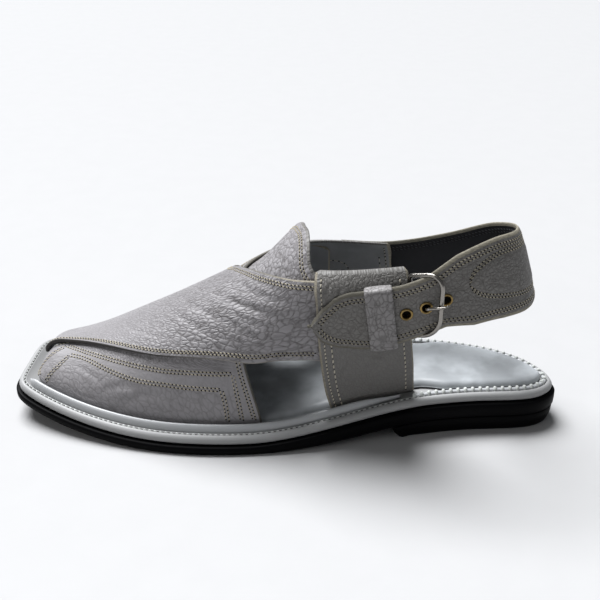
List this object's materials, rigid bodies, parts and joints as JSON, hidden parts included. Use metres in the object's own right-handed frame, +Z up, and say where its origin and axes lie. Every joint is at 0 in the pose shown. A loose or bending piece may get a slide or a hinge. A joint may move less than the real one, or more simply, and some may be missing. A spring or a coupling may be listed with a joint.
{
  "type": "peshawari chappal",
  "caption": "Left sandal of crossed wide leather straps with a pointed tongue, ankle panels and a buckled heel strap on a welted sole with a low heel.",
  "frame": {"origin": "on the floor under the middle of the shoe's bounding box", "axes": "toe to -X, heel to +X, the outer (buckle) side of the foot to -Y, +Z up"},
  "size_m": [0.3052, 0.1098, 0.1134],
  "materials": {
    "black_rubber": "satin moulded black rubber",
    "grey_midsole": "smooth light grey, softly glossy, stitched ledge",
    "grey_rand": "glossy light grey rolled strip",
    "insole_leather": "smooth pale blue-grey lining leather, padded",
    "upper_leather": "taupe grey pebbled grain leather",
    "panel_leather": "brown-grey fine grain leather",
    "strap_leather": "brown-grey fine grain leather, double stitched",
    "buckle_steel": "aged nickel wire",
    "eyelet_brass": "antique brass"
  },
  "bodies": {
    "root": {"outsole": "black_rubber", "heel_block": "black_rubber", "midsole": "grey_midsole", "rand_outer": "grey_rand", "rand_inner": "grey_rand", "insole": "insole_leather", "upper": "upper_leather", "tongue": "upper_leather", "ankle_panel_outer": "panel_leather", "ankle_panel_inner": "panel_leather", "heel_strap": "strap_leather", "keeper_loop": "strap_leather", "buckle_frame": "buckle_steel", "buckle_prong": "buckle_steel", "eyelet_1": "eyelet_brass", "eyelet_2": "eyelet_brass", "eyelet_3": "eyelet_brass"}
  },
  "joints": []
}
